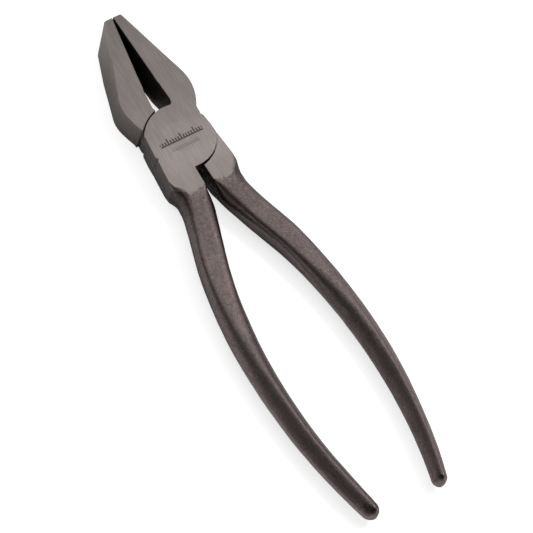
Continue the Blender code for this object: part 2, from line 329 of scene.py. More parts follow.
def lap_rows(sizes, thick, lap_low, lap_high):
    """Rows of the lap, and of the steps at the socket arcs on both sides of it.

    The left ends follow the free arc from the throat to the handle's outer side. The right
    ends follow the waist, the straight side and the arc down to the slot.
    """
    lap = sizes.lap_radius / MM
    socket = sizes.socket_radius / MM
    left = np.vstack([[(2.9, 12.3)], arc(lap, 78.0, 153.7, 60),
                      [(-10.85, 5.2), (-11.6, -3.1), (-11.0, -4.15)]])
    right = np.vstack([[(10.38, 7.4), (10.42, 6.2), (10.4, 5.2), (10.2, 4.5), (10.85, 3.5),
                        (11.3, -0.5), (11.45, -4.2)], arc(lap, -21.3, -96.6, 60)])
    where = np.linspace(0.0, 1.0, ROWS["lap"])
    across = along(right, where)
    bow = np.interp(where, [0.0, 0.25, 0.75, 1.0], [0.62, 0.2, -0.4, -1.7])
    lows = np.array([0.0, STEP_CHAMFER if lap_low else 0.0, lap_low])
    highs = np.array([thick, thick - STEP_CHAMFER if lap_high < thick else thick, lap_high])
    slot = np.array([(-1.5, -socket + 0.05), (-1.5, -socket), (-1.5, -socket - STEP_CHAMFER)])
    return [
        upright(np.array([(3.05, 12.5), (3.0, 12.4), (2.97, 12.36)]),
                np.array([(10.38, 7.68), (10.38, 7.6), (10.38, 7.55)]),
                lows, highs, np.array([0.66, 0.65, 0.64]), right_draft=DRAFT),
        upright(along(left, where), across, lap_low, lap_high, bow,
                right_draft=DRAFT * smoothstep(-6.5, -4.0, across[:, 1])),
        upright(np.array([(-11.15, -4.25), (-11.25, -4.35), (-11.4, -4.5)]), slot,
                lows[::-1], highs[::-1], np.array([-1.72, -1.75, -1.78]), left_draft=DRAFT),
    ]


def handle_rows(sizes, thick, node):
    """Rows of the root, of the handle square to its centre line, and of its rounded end.

    The end is a quarter ellipse: the section shrinks by the cosine of a turn while it moves
    on by the sine.
    """
    tip_y = -sizes.handle_reach / MM
    y = np.linspace(ROOT_Y, tip_y, ROWS["handle"])
    centre = np.stack([-smooth_curve(y, HANDLE_Y, HANDLE_X[node]), y], 1)
    width = smooth_curve(y, HANDLE_Y, HALF_WIDTH[node])
    ahead = np.gradient(centre, axis=0)
    ahead /= np.linalg.norm(ahead, axis=1)[:, None]
    keep = y > tip_y + width[-1]
    centre, ahead, width = centre[keep], ahead[keep], width[keep]
    turn = np.radians(np.linspace(0.0, 87.0, ROWS["end"] + 1))[1:]
    shrink = np.r_[np.ones(len(centre)), np.cos(turn)]
    reach = (centre[-1, 1] - tip_y) / -ahead[-1, 1]
    centre = np.vstack([centre, centre[-1] + ahead[-1] * reach * np.sin(turn)[:, None]])
    half = np.r_[width, np.full(len(turn), width[-1])] * shrink
    ahead = np.vstack([ahead, np.repeat(ahead[-1:], len(turn), 0)])
    across = np.stack([ahead[:, 1], -ahead[:, 0]], 1) * half[:, None]
    share = np.linspace(0.0, 1.0, ROWS["root"], endpoint=False)
    left, right = centre + across, centre - across
    return [
        upright(along(ROOT_LEFT + [tuple(left[0])], share), along(ROOT_RIGHT + [tuple(right[0])], share),
                0.0, thick, -1.8 * (1 - share) ** 2, left_draft=DRAFT * (1 - share) ** 0.5),
        upright(left, right, 0.0, thick, 0.0, square=True, scale=shrink),
    ]


def inward(edge, turn):
    """Unit plan normals of an edge: the mean direction of its two segments, turned inwards."""
    step = np.diff(edge, axis=0)
    step /= np.linalg.norm(step, axis=1)[:, None] + 1e-9
    mean = np.vstack([step[:1], step[:-1] + step[1:], step[-1:]])
    mean /= np.linalg.norm(mean, axis=1)[:, None] + 1e-9
    return turn * np.stack([-mean[:, 1], mean[:, 0]], 1)


def half_surface(rows, thick, edge, node):
    """Points of one half as a grid, and how far each lies below the forging's own skin.

    Each row is a ring: over the top face, round the right edge, down the right wall, back
    along the underside and up the left wall. The top is the lower of the ground face and
    the forging's crowned skin, and the underside mirrors it. At an edge of radius r a turn
    from the flat to the wall comes in by r(1 - sin) and drops by r(1 - cos). Down the
    handle each point is pulled along its ray from the section's middle onto a superellipse,
    |across|^p + |up|^p = 1, whose falling power narrows the top to a ridge.
    """
    y_left, y_right = rows["left"][:, 1], rows["right"][:, 1]
    chord = rows["right"] - rows["left"]
    half_width = np.linalg.norm(chord, axis=1) / 2
    chord = chord / (2 * half_width[:, None])
    square = rows["square"][:, None]
    normal = {"left": np.where(square, chord, inward(rows["left"], 1.0)),
              "right": np.where(square, -chord, inward(rows["right"], -1.0))}
    full = ROUNDNESS * smooth_curve((y_left + y_right) / 2, HANDLE_Y, HALF_WIDTH[node]) * rows["scale"]
    radius = {"left": edge + (full - edge) * np.interp(-y_left, *ROUND_OUTER),
              "right": edge + (full - edge) * np.interp(-y_right, *ROUND_INNER)}
    radius["right"] = np.maximum(radius["right"], np.interp(y_right, [20.0, 30.0], [0.0, 0.42]))
    radius = {key: np.minimum(value, full) for key, value in radius.items()}

    def skin(y, v, scale):
        """Height of the forging's skin over its middle at v, from -1 to 1 across it: its
        edge height plus a crown of 1 - v squared."""
        crown = smooth_curve(y, FORGE_Y, FORGE_CROWN) * (1 - v * v)
        return scale * (smooth_curve(y, FORGE_Y, FORGE_HEIGHT) + crown)

    def wall(name, z):
        """Plan place of a wall at height z: from its foot, or the crest, to the top edge."""
        foot = rows["crest"] if name == "left" else rows["low"]
        share = np.clip((z - foot[:, None]) / (rows["high"] - foot)[:, None], 0.0, 1.0)[..., None]
        return rows[name + "_foot"][:, None] * (1 - share) + rows[name][:, None] * share

    def face(up):
        """The flat of the top face or the underside, left to right, bowed along the socket."""
        ends = []
        for name, y in (("left", y_left), ("right", y_right)):
            rise = skin(y, 1 - radius[name] / half_width, rows["scale"])
            z = np.minimum(rows["high"], thick / 2 + rise) if up else np.maximum(
                rows["low"], thick / 2 - rise)
            ends.append((wall(name, z[:, None])[:, 0] + normal[name] * radius[name][:, None], z))
        u = np.r_[0.0, 0.02, np.linspace(0.05, 0.95, FLAT_COLUMNS), 0.98, 1.0]
        plan = ends[0][0][:, None] * (1 - u)[:, None] + ends[1][0][:, None] * u[:, None]
        bow = (rows["bow"][:, None] * 4 * u * (1 - u))[..., None]
        plan = plan + bow * np.stack([-chord[:, 1], chord[:, 0]], 1)[:, None]
        first, last = radius["left"] / half_width - 1, 1 - radius["right"] / half_width
        v = first[:, None] * (1 - u) + last[:, None] * u
        rise = skin(plan[..., 1], v, rows["scale"][:, None])
        if up:
            z = np.minimum(rows["high"][:, None], thick / 2 + rise)
        else:
            z = np.maximum(rows["low"][:, None], thick / 2 - rise)
        return plan, z, rise - thick / 2, (ends[0][1], ends[1][1])

    def rounding(name, z_face, up):
        """The quarter turn from a face to a wall."""
        turn = np.radians(np.linspace(0.0, 90.0, CORNER_COLUMNS + 1))[1:]
        inset = radius[name][:, None] * (1 - np.sin(turn))
        y = (y_left if name == "left" else y_right)[:, None]
        scale = rows["scale"][:, None]
        flat = skin(y, (1 - radius[name] / half_width)[:, None], scale)
        drop = radius[name][:, None] * (1 - np.cos(turn))
        drop = drop + flat - skin(y, 1 - inset / half_width[:, None], scale)
        z = z_face[:, None] + (-drop if up else drop)
        plan = wall(name, z) + normal[name][:, None] * inset[..., None]
        return plan, z, flat - thick / 2 - drop

    def upright_wall(name, z_low, z_high):
        """The wall between the two roundings, with a column on the crest of a jaw."""
        crest = np.clip(rows["crest"], z_low + 0.02, z_high - 0.02)
        part = np.linspace(0.0, 1.0, WALL_COLUMNS + 1)[1:]
        z = np.hstack([z_low[:, None] + part * (crest - z_low)[:, None],
                       crest[:, None] + part[:-1] * (z_high - crest)[:, None]])
        plan = wall(name, z)
        y = y_left if name == "left" else y_right
        excess = (skin(y, 1.0, rows["scale"]) - thick / 2 - radius[name])[:, None] + 0 * z
        return plan, z, excess

    top, top_z, top_excess, top_ends = face(True)
    under, under_z, under_excess, under_ends = face(False)
    blocks = [(top, top_z, top_excess)]
    rounded = rounding("right", top_ends[1], True)
    blocks.append(rounded)
    low_rounded = rounding("right", under_ends[1], False)
    walls = upright_wall("right", low_rounded[1][:, -1], rounded[1][:, -1])
    blocks.append(tuple(block[:, ::-1] for block in walls))
    blocks.append(tuple(block[:, ::-1] for block in low_rounded))
    blocks.append((under[:, ::-1], under_z[:, ::-1], under_excess[:, ::-1]))
    low_rounded = rounding("left", under_ends[0], False)
    rounded = rounding("left", top_ends[0], True)
    walls = upright_wall("left", low_rounded[1][:, -1], rounded[1][:, -1])
    blocks += [low_rounded, walls, tuple(block[:, ::-1] for block in rounded)]
    plan = np.concatenate([block[0] for block in blocks], axis=1)
    height = np.concatenate([block[1] for block in blocks], axis=1)
    excess = np.concatenate([block[2] for block in blocks], axis=1)
    rim = np.concatenate([np.full(block[1].shape[1], 1.0 if k in (1, 3, 5, 7) else 0.0)
                          for k, block in enumerate(blocks)])
    y_row = (y_left + y_right)[:, None] / 2
    scale = rows["scale"][:, None]
    middle = (rows["left"] + rows["right"])[:, None] / 2
    power = smooth_curve(y_row, OVAL_Y, OVAL_POWER)
    across = np.linalg.norm(plan - middle, axis=2) / half_width[:, None]
    upward = np.abs(height - thick / 2) / skin(y_row, 0.0, scale)
    pull = (across ** power + upward ** power + 1e-12) ** (-1 / power)
    pull = 1 + (pull - 1) * smoothstep(-OVAL_FROM, -OVAL_FULL, -y_row)
    plan = middle + (plan - middle) * pull[..., None]
    height = thick / 2 + (height - thick / 2) * pull
    # Each block takes its tone table, painted shade and painted light included
    tone_and_shade_tables = (FACE_TONE_AND_SHADE, RIGHT_TONE_AND_SHADE, RIGHT_TONE_AND_SHADE, RIGHT_TONE_AND_SHADE, FACE_TONE_AND_SHADE,
             LEFT_TONE_AND_SHADE, LEFT_TONE_AND_SHADE, LEFT_TONE_AND_SHADE)
    tone = np.concatenate([np.interp(plan_y, TONE_AND_SHADE_Y, values) for plan_y, values in zip(
        np.split(plan[..., 1], np.cumsum([block[1].shape[1] for block in blocks])[:-1], axis=1),
        tone_and_shade_tables)], axis=1)
    tone = tone * (1 - UNDER_SHADE * smoothstep(0.1, 0.6, (thick / 2 - height) / skin(y_row, 0.0, scale))
                   * smoothstep(20.0, 40.0, -y_row))
    first = sum(block[1].shape[1] for block in blocks[:5])
    last = first + CORNER_COLUMNS + WALL_COLUMNS
    return np.dstack([plan, height]), excess, rim, tone, slice(first, last)


def grid_normals(points):
    """Unit normals of a grid whose columns close: the cross product of its two slopes."""
    down = np.gradient(points, axis=0)
    round_ = np.roll(points, -1, axis=1) - np.roll(points, 1, axis=1)
    normal = np.cross(round_, down)
    return normal / (np.linalg.norm(normal, axis=2)[..., None] + 1e-12)


def grid_faces(rows, columns):
    """Quads between neighbouring rows, closed round the columns, and a cap at each end."""
    index = np.arange(rows * columns).reshape(rows, columns)
    after = np.roll(index, -1, axis=1)
    quads = np.stack([index[:-1], after[:-1], after[1:], index[1:]], 2).reshape(-1, 4)
    return quads.tolist() + [index[0][::-1].tolist(), index[-1].tolist()]


def add_piece(name, points, faces, attributes=()):
    """A mesh object at the origin, faces turned outwards, smooth but for its real creases."""
    mesh = bpy.data.meshes.new(name)
    points = np.asarray(points, float).reshape(-1, 3)
    corners = points[[face[:3] for face in faces if len(face) == 4]]
    volume = np.einsum("ij,ij->i", corners[:, 0], np.cross(corners[:, 1], corners[:, 2])).sum()
    if volume < 0:
        faces = [face[::-1] for face in faces]
    mesh.from_pydata(points * MM, [], faces)
    mesh.shade_smooth()
    mesh.set_sharp_from_angle(angle=CREASE_ANGLE)
    for key, values in attributes:
        mesh.attributes.new(key, "FLOAT", "POINT").data.foreach_set("value", values.ravel())
    piece = bpy.data.objects.new(name, mesh)
    bpy.context.scene.collection.objects.link(piece)
    return piece


def lathe(profile, steps):
    """A profile of radius and height turned about the vertical axis, with a cap at each end."""
    angle = np.linspace(0.0, 2 * np.pi, steps, endpoint=False)
    radius, height = np.array(profile, float).T
    points = np.stack([radius[:, None] * np.cos(angle), radius[:, None] * np.sin(angle),
                       height[:, None] + 0 * angle], 2)
    return points, grid_faces(len(profile), steps)


# ---------------------------------------------------------------- pieces

# The rivet's countersink, how much wider its seat is, and the band round the seat that
# takes the ground face's attributes
SINK = 1.2
SEAT_CLEARANCE = 0.004
SEAT_RIM = 0.4

def rivet_outline(sizes, thick, grow):
    """The rivet's radius and height from top to bottom: a countersunk head at each end."""
    head = sizes.rivet_radius / MM + grow
    shank = head - SINK
    edge = 0.012
    if grow > 0.0:
        return [(head, thick + 1.0), (head, thick), (shank, thick - SINK),
                (shank, SINK), (head, 0.0), (head, -1.0)]
    return [(0.3, thick), (1.6, thick), (3.4, thick), (head - 2 * edge, thick), (head - edge, thick),
            (head - 0.3 * edge, thick - 0.3 * edge), (head, thick - edge),
            (shank, thick - SINK), (shank, SINK), (head, edge), (head - edge, 0.0),
            (3.4, 0.0), (0.3, 0.0)]


def bore(piece, sizes, thick):
    """Cuts the rivet's seat, a hair wider than the rivet, applies the cut, and gives the
    seat and its rim the attributes of the ground face."""
    points, faces = lathe(rivet_outline(sizes, thick, SEAT_CLEARANCE), ROUND_STEPS)
    cutter = add_piece("seat_cutter", points, faces)
    cut = piece.modifiers.new("Rivet seat", "BOOLEAN")
    cut.object = cutter
    cut.operation = "DIFFERENCE"
    cut.solver = "EXACT"
    graph = bpy.context.evaluated_depsgraph_get()
    mesh = bpy.data.meshes.new_from_object(piece.evaluated_get(graph))
    piece.modifiers.clear()
    old, piece.data = piece.data, mesh
    mesh.name = piece.name
    mesh.set_sharp_from_angle(angle=CREASE_ANGLE)
    places = np.empty(len(mesh.vertices) * 3)
    mesh.vertices.foreach_get("co", places)
    near = np.hypot(places[0::3], places[1::3]) < sizes.rivet_radius + SEAT_RIM * MM
    for key, value in (("skin", thick), ("rim", 0.0), ("land", 0.0), ("tone", 1.0)):
        values = np.empty(len(mesh.vertices))
        mesh.attributes[key].data.foreach_get("value", values)
        mesh.attributes[key].data.foreach_set("value", np.where(near, value, values))
    bpy.data.meshes.remove(old)
    bpy.data.meshes.remove(cutter.data)


def make_half(name, node, side, sizes, lap_low, lap_high, seed):
    """One half: rows from nose to handle end, teeth, forged skin, lean, mirror and bore."""
    thick = sizes.head_thickness / MM
    tables = [*jaw_rows(sizes, thick), *lap_rows(sizes, thick, lap_low, lap_high),
              *handle_rows(sizes, thick, node)]
    rows = {key: np.concatenate([table[key] for table in tables]) for key in tables[0]}
    points, excess, rim, tone, grip_columns = half_surface(
        rows, thick, sizes.edge_radius / MM, node)

    pitch = sizes.tooth_pitch / MM
    phase = np.abs((rows["left"][:, 1] / pitch) % 1.0 - 0.5) * 2.0
    tooth = sizes.tooth_depth / MM * phase * rows["grip"]
    points[:, grip_columns, 0] += tooth[:, None]

    forged = smoothstep(-0.35, 0.15, -excess)
    dents = 0.045 * value_noise(points, 4.5, seed) + 0.022 * value_noise(points, 1.9, seed + 1)
    scale = 0.014 * value_noise(points, 0.8, seed + 2)
    land = smoothstep(-0.8, -0.5, -np.abs(points[..., 2] - thick / 2))
    lift = forged * (dents - 0.05 + scale + 0.1 * land)
    points += grid_normals(points) * lift[..., None]
    points[..., 2] = np.clip(points[..., 2], 0.0, thick)

    ridge = smoothstep(-RIDGE_FROM, -RIDGE_FULL, -points[..., 1])
    forge_height = np.interp(points[..., 1], FORGE_Y[::-1], FORGE_HEIGHT[::-1])
    ridge *= np.maximum(points[..., 2] - thick / 2, 0.0) / forge_height
    points[..., 0] = side * points[..., 0] + np.interp(points[..., 1], LEAN_Y, LEAN_X)
    points[..., 0] += RIDGE_SHIFT * ridge
    piece = add_piece(name, points, grid_faces(*points.shape[:2]),
                      [("skin", excess), ("rim", rim + 0 * excess), ("land", land * forged),
                       ("tone", tone)])
    bore(piece, sizes, thick)
    return piece


# ---------------------------------------------------------------- materials

def add_node(tree, kind, links=None, **values):
    """A node with its settings or plain socket values, and its linked inputs."""
    node = tree.nodes.new(kind)
    for key, value in values.items():
        if hasattr(node, key):
            setattr(node, key, value)
        else:
            node.inputs[key.replace("_", " ")].default_value = value
    for key, source in (links or {}).items():
        tree.links.new(source, node.inputs[key])
    return node


def maths(tree, operation, *terms, clamp=False):
    """A Math node over sockets and numbers."""
    node = tree.nodes.new("ShaderNodeMath")
    node.operation = operation
    node.use_clamp = clamp
    for slot, term in enumerate(terms):
        if isinstance(term, (int, float)):
            node.inputs[slot].default_value = term
        else:
            tree.links.new(term, node.inputs[slot])
    return node.outputs[0]


def ramp(tree, value, low, high, to_low=0.0, to_high=1.0):
    """A smooth step of a socket from one level to another."""
    node = add_node(tree, "ShaderNodeMapRange", {"Value": value}, interpolation_type="SMOOTHSTEP",
                    From_Min=low, From_Max=high, To_Min=to_low, To_Max=to_high)
    return node.outputs["Result"]


def blend_colours(tree, share, first, second, mode="MIX"):
    """A Mix node of two colours, each a socket or a plain colour."""
    node = tree.nodes.new("ShaderNodeMix")
    node.data_type = "RGBA"
    node.blend_type = mode
    for slot, term in ((0, share), (6, first), (7, second)):
        if isinstance(term, bpy.types.NodeSocket):
            tree.links.new(term, node.inputs[slot])
        elif slot:
            node.inputs[slot].default_value = (*term[:3], 1.0)
        else:
            node.inputs[slot].default_value = term
    return node.outputs[2]


def noise(tree, place, scale, detail=2.0, roughness=0.5):
    """A Noise Texture's value on given coordinates."""
    return add_node(tree, "ShaderNodeTexNoise", {"Vector": place}, Scale=scale, Detail=detail,
                    Roughness=roughness).outputs["Fac"]


def stretched(tree, scale, turn=0.0):
    """Object coordinates, turned about Z and stretched."""
    place = tree.nodes.new("ShaderNodeTexCoord").outputs["Object"]
    return add_node(tree, "ShaderNodeMapping", {"Vector": place}, Scale=scale,
                    Rotation=(0.0, 0.0, turn)).outputs["Vector"]


def new_group(name, inputs, outputs):
    """An empty shader node group with named number inputs and outputs."""
    group = bpy.data.node_groups.new(name, "ShaderNodeTree")
    for label, value in inputs:
        socket = group.interface.new_socket(label, in_out="INPUT", socket_type="NodeSocketFloat")
        socket.default_value = value
    for label in outputs:
        group.interface.new_socket(label, in_out="OUTPUT", socket_type="NodeSocketFloat")
    return group, group.nodes.new("NodeGroupInput").outputs, group.nodes.new("NodeGroupOutput").inputs


def grain_group():
    """Satin grain: two stretched noises along the tool, and broad soft streaks."""
    group, given, out = new_group("Satin grain", [("Amount", 1.0)], ["Tone", "Height"])
    fine = noise(group, stretched(group, (1.0, 0.035, 1.0), 0.05), 7000.0, 3.0, 0.6)
    coarse = noise(group, stretched(group, (1.0, 0.03, 1.0), -0.04), 2200.0, 2.0)
    cloud = noise(group, stretched(group, (1.0, 0.5, 1.0)), 260.0, 3.0)
    total = maths(group, "ADD", maths(group, "MULTIPLY", fine, 0.5), maths(group, "MULTIPLY", coarse, 0.3))
    total = maths(group, "ADD", total, maths(group, "MULTIPLY", cloud, 0.2))
    centred = maths(group, "SUBTRACT", total, 0.5)
    tone = maths(group, "MULTIPLY", centred, given["Amount"])
    group.links.new(maths(group, "ADD", tone, 0.5, clamp=True), out["Tone"])
    group.links.new(total, out["Height"])
    return group


def scale_group():
    """Forge scale: fine sparkle, pits and broad blotches."""
    group, given, out = new_group("Forge scale", [("Sparkle", 1.0)], ["Tone", "Glint", "Height"])
    place = stretched(group, (1.0, 1.0, 1.0))
    grit = noise(group, place, 2600.0, 3.0, 0.65)
    pits = noise(group, place, 900.0, 2.0)
    blotch = noise(group, place, 150.0, 3.0)
    cells = add_node(group, "ShaderNodeTexVoronoi", {"Vector": place}, Scale=3000.0).outputs["Color"]
    glint = ramp(group, add_node(group, "ShaderNodeSeparateColor", {"Color": cells}).outputs[0], 0.7, 1.0)
    tone = maths(group, "ADD", maths(group, "MULTIPLY", grit, 0.5), maths(group, "MULTIPLY", pits, 0.3))
    tone = maths(group, "ADD", tone, maths(group, "MULTIPLY", blotch, 0.2))
    group.links.new(tone, out["Tone"])
    glint = maths(group, "MULTIPLY", glint, ramp(group, grit, 0.45, 0.62))
    group.links.new(maths(group, "MULTIPLY", glint, given["Sparkle"]), out["Glint"])
    height = maths(group, "ADD", maths(group, "MULTIPLY", grit, 0.6), maths(group, "MULTIPLY", pits, 0.4))
    group.links.new(height, out["Height"])
    return group


def wear_group():
    """Rubbed edges: the rim of the surface, broken up by noise."""
    group, given, out = new_group("Edge wear", [("Amount", 1.0)], ["Mask"])
    rim = add_node(group, "ShaderNodeAttribute", attribute_name="rim").outputs["Fac"]
    patch = noise(group, stretched(group, (1.0, 1.0, 1.0)), 420.0, 3.0, 0.6)
    mask = maths(group, "MULTIPLY", rim, ramp(group, patch, 0.35, 0.65, 0.25, 1.0))
    group.links.new(maths(group, "MULTIPLY", mask, given["Amount"], clamp=True), out["Mask"])
    return group


def etch_group():
    """A plain etched length scale on the top face: ticks at each millimetre, long at each
    fifth, over a baseline, and under it a fainter row of finer ticks."""
    group, given, out = new_group("Etched scale", [("Top face", 0.0108)], ["Mask"])
    place = stretched(group, (1000.0, 1000.0, 1.0))
    split = add_node(group, "ShaderNodeSeparateXYZ", {"Vector": place}).outputs
    x, y, z = split["X"], split["Y"], split["Z"]

    def near(value, period, half):
        """1 where a value lies within half of a multiple of the period."""
        return maths(group, "LESS_THAN", maths(group, "PINGPONG", value, period / 2), half)

    def between(value, low, high):
        """1 where a value lies between two levels."""
        above = maths(group, "GREATER_THAN", value, low)
        return maths(group, "MULTIPLY", above, maths(group, "LESS_THAN", value, high))

    wide = between(x, -8.0, 8.0)
    long_ticks = maths(group, "LESS_THAN", maths(group, "PINGPONG", maths(group, "ADD", x, 5.0), 2.5), 0.4)
    reach = maths(group, "ADD", maths(group, "MULTIPLY", long_ticks, 0.9), 0.4)
    ticks = maths(group, "MULTIPLY", near(x, 1.0, 0.27), between(y, -1.3, 1.4))
    ticks = maths(group, "MULTIPLY", ticks, maths(group, "LESS_THAN", y, reach))
    ticks = maths(group, "MAXIMUM", ticks, between(y, -1.3, -0.75))
    ticks = maths(group, "MULTIPLY", ticks, wide)
    fine = maths(group, "MULTIPLY", near(x, 0.75, 0.13), between(y, -4.0, -2.9))
    fine = maths(group, "MAXIMUM", fine, between(y, -4.1, -3.9))
    fine = maths(group, "MULTIPLY", fine, between(x, -5.3, 5.3))
    both = maths(group, "MAXIMUM", ticks, maths(group, "MULTIPLY", fine, 0.5))
    on_top = maths(group, "GREATER_THAN", z, given["Top face"])
    group.links.new(maths(group, "MULTIPLY", both, on_top), out["Mask"])
    return group


def place_group(tree, group, **values):
    """A group in a material, with its input values."""
    node = tree.nodes.new("ShaderNodeGroup")
    node.node_tree = group
    for key, value in values.items():
        node.inputs[key.replace("_", " ")].default_value = value
    return node.outputs


def steel(name, groups, finish, with_skin):
    """Bare steel: satin ground faces, and forge scale where the skin was left."""
    material = bpy.data.materials.new(name)
    material.use_nodes = True
    tree = material.node_tree
    shader = tree.nodes["Principled BSDF"]
    grain = place_group(tree, groups["grain"], Amount=1.7)
    etched = place_group(tree, groups["etch"])["Mask"]
    ground = blend_colours(tree, ramp(tree, grain["Tone"], 0.2, 0.8),
                           [c * 0.82 for c in finish.ground], [c * 1.18 for c in finish.ground])
    rough = ramp(tree, grain["Tone"], 0.2, 0.8, 0.36, 0.46)
    bump = add_node(tree, "ShaderNodeBump", {"Height": grain["Height"]}, Strength=0.35, Distance=0.00002)
    if with_skin:
        wear = place_group(tree, groups["wear"])["Mask"]
        ground = blend_colours(tree, maths(tree, "MULTIPLY", wear, 0.35), ground, finish.worn_and_glint)
    colour = blend_colours(tree, maths(tree, "MULTIPLY", etched, 0.8), ground, finish.etch)
    rough = maths(tree, "ADD", rough, maths(tree, "MULTIPLY", etched, 0.2))
    metal = maths(tree, "SUBTRACT", 1.0, maths(tree, "MULTIPLY", etched, 0.5))
    normal = bump.outputs["Normal"]
    if with_skin:
        scale = place_group(tree, groups["scale"], Sparkle=0.32)
        skin = add_node(tree, "ShaderNodeAttribute", attribute_name="skin").outputs["Fac"]
        ragged = noise(tree, stretched(tree, (1.0, 1.0, 1.0)), 900.0, 3.0, 0.6)
        ragged = maths(tree, "MULTIPLY", maths(tree, "SUBTRACT", ragged, 0.5), 0.6)
        mask = ramp(tree, maths(tree, "ADD", skin, ragged), -0.05, 0.05)
        forged = blend_colours(tree, ramp(tree, scale["Tone"], 0.35, 0.65),
                               [c * 0.72 for c in finish.forged], [c * 1.28 for c in finish.forged])
        # Painted highlights: the forge scale's glint specks take the worn colour
        forged = blend_colours(tree, scale["Glint"], forged, finish.worn_and_glint)
        place = add_node(tree, "ShaderNodeSeparateXYZ", {"Vector": stretched(tree, (1.0, 1.0, 1.0))})
        land = add_node(tree, "ShaderNodeAttribute", attribute_name="land").outputs["Fac"]
        forged = blend_colours(tree, maths(tree, "MULTIPLY", land, 0.12), forged, finish.worn_and_glint)
        line = maths(tree, "MULTIPLY", land, maths(tree, "SUBTRACT", 1.0, land))
        line = maths(tree, "MULTIPLY", line, ramp(tree, place.outputs["Y"], -0.075, -0.05, 0.0, 3.0))
        forged = blend_colours(tree, line, forged, [c * 0.3 for c in finish.forged])
        colour = blend_colours(tree, mask, forged, colour)
        forged_rough = ramp(tree, scale["Tone"], 0.3, 0.7, 0.38, 0.28)
        polish = ramp(tree, place.outputs["Y"], -0.147, -0.142, 0.24, 0.5)
        forged_rough = maths(tree, "MINIMUM", forged_rough, polish)
        rough = maths(tree, "ADD", maths(tree, "MULTIPLY", rough, mask),
                      maths(tree, "MULTIPLY", forged_rough, maths(tree, "SUBTRACT", 1.0, mask)))
        crust = add_node(tree, "ShaderNodeBump", {"Height": scale["Height"]}, Strength=0.8,
                         Distance=0.00012)
        mixed = tree.nodes.new("ShaderNodeMix")
        mixed.data_type = "VECTOR"
        tree.links.new(mask, mixed.inputs[0])
        tree.links.new(crust.outputs["Normal"], mixed.inputs[4])
        tree.links.new(normal, mixed.inputs[5])
        normal = mixed.outputs[1]
        # The tone attribute multiplies the colour: painted shade and painted light, with some of the
        # steel's tone, set by place along the tool
        tone = add_node(tree, "ShaderNodeAttribute", attribute_name="tone").outputs["Fac"]
        colour = blend_colours(tree, 1.0, colour, tone, "MULTIPLY")
    tree.links.new(colour, shader.inputs["Base Color"])
    tree.links.new(rough, shader.inputs["Roughness"])
    tree.links.new(metal, shader.inputs["Metallic"])
    tree.links.new(normal, shader.inputs["Normal"])
    return material


def steel_groups():
    """The shared groups, made once."""
    made = bpy.data.node_groups
    builders = {"grain": ("Satin grain", grain_group), "scale": ("Forge scale", scale_group),
                "wear": ("Edge wear", wear_group), "etch": ("Etched scale", etch_group)}
    return {key: made.get(name) or build() for key, (name, build) in builders.items()}


def floor_material(finish):
    """Pale seamless paper with a faint tooth. A glow that only the camera sees lifts it
    towards white, so the tool isn't lit by it."""
    material = bpy.data.materials.new("Pale paper")
    material.use_nodes = True
    tree = material.node_tree
    shader = tree.nodes["Principled BSDF"]
    tooth = noise(tree, stretched(tree, (1.0, 1.0, 1.0)), 1400.0, 3.0)
    colour = blend_colours(tree, tooth, [c * 0.99 for c in finish.floor], finish.floor)
    tree.links.new(colour, shader.inputs["Base Color"])
    shader.inputs["Roughness"].default_value = 0.9
    shader.inputs["Specular IOR Level"].default_value = 0.1
    shader.inputs["Emission Strength"].default_value = 0.72
    seen = tree.nodes.new("ShaderNodeLightPath").outputs["Is Camera Ray"]
    tree.links.new(seen, shader.inputs["Emission Color"])
    return material


# ---------------------------------------------------------------- stage

TARGET = Vector((0.00252, -0.05342, 0.00545))
TOWARD_CAMERA = Vector((-0.3005, -0.3607, 0.883)).normalized()
CAMERA_DISTANCE = 4.0
CAMERA_LENS = 814.6
CEILING_LEAN = (0.367, 0.441, 0.819)
LIGHT_DISTANCE = 0.9
KEY_DIRECTION = (0.57, -0.18, 0.80)
END_DIRECTION = (0.48, -0.56, 0.60)
CAMERA_ROLL = math.radians(10.67)


def aimed(place, target, roll=0.0):
    """A matrix at a place whose -Z points at the target, turned about that line by roll."""
    back = (place - target).normalized()
    right = Vector((0.0, 0.0, 1.0)).cross(back).normalized()
    up = back.cross(right)
    side = right * math.cos(roll) + up * math.sin(roll)
    above = up * math.cos(roll) - right * math.sin(roll)
    turn = Matrix((side, above, back)).transposed().to_4x4()
    return Matrix.Translation(place) @ turn


def add_softbox(name, direction, size, power):
    """A square area light in a direction from the tool, aimed at its middle."""
    data = bpy.data.lights.new(name, "AREA")
    data.shape = "SQUARE"
    data.size = size
    data.energy = power
    light = bpy.data.objects.new(name, data)
    light.matrix_world = aimed(TARGET + Vector(direction).normalized() * LIGHT_DISTANCE, TARGET)
    bpy.context.scene.collection.objects.link(light)
    return light


def make_world():
    """A studio round the tool: a broad bright ceiling that leans to the back, a dark gap in
    front of it, and a dim horizon. What is seen directly past the floor is plain pale."""
    world = bpy.data.worlds.new("Studio")
    world.use_nodes = True
    tree = world.node_tree
    background = tree.nodes["Background"]
    direction = tree.nodes.new("ShaderNodeTexCoord").outputs["Generated"]
    height = add_node(tree, "ShaderNodeSeparateXYZ", {"Vector": direction}).outputs["Z"]
    lean = tree.nodes.new("ShaderNodeVectorMath")
    lean.operation = "DOT_PRODUCT"
    lean.inputs[1].default_value = CEILING_LEAN
    tree.links.new(direction, lean.inputs[0])
    ceiling = ramp(tree, lean.outputs["Value"], 0.5, 0.85, 0.03, 0.78)
    room = maths(tree, "MAXIMUM", ceiling, ramp(tree, height, 0.28, 0.42, 0.5, 0.0))
    seen = tree.nodes.new("ShaderNodeLightPath").outputs["Is Camera Ray"]
    level = maths(tree, "MAXIMUM", room, seen)
    tree.links.new(level, background.inputs["Strength"])
    background.inputs["Color"].default_value = (1.0, 1.0, 1.0, 1.0)
    bpy.context.scene.world = world


# ---------------------------------------------------------------- operators

def finish_piece(piece, body, node):
    """Rides a piece on its body, in place of the CAD node."""
    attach(piece, body)
    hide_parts(node)


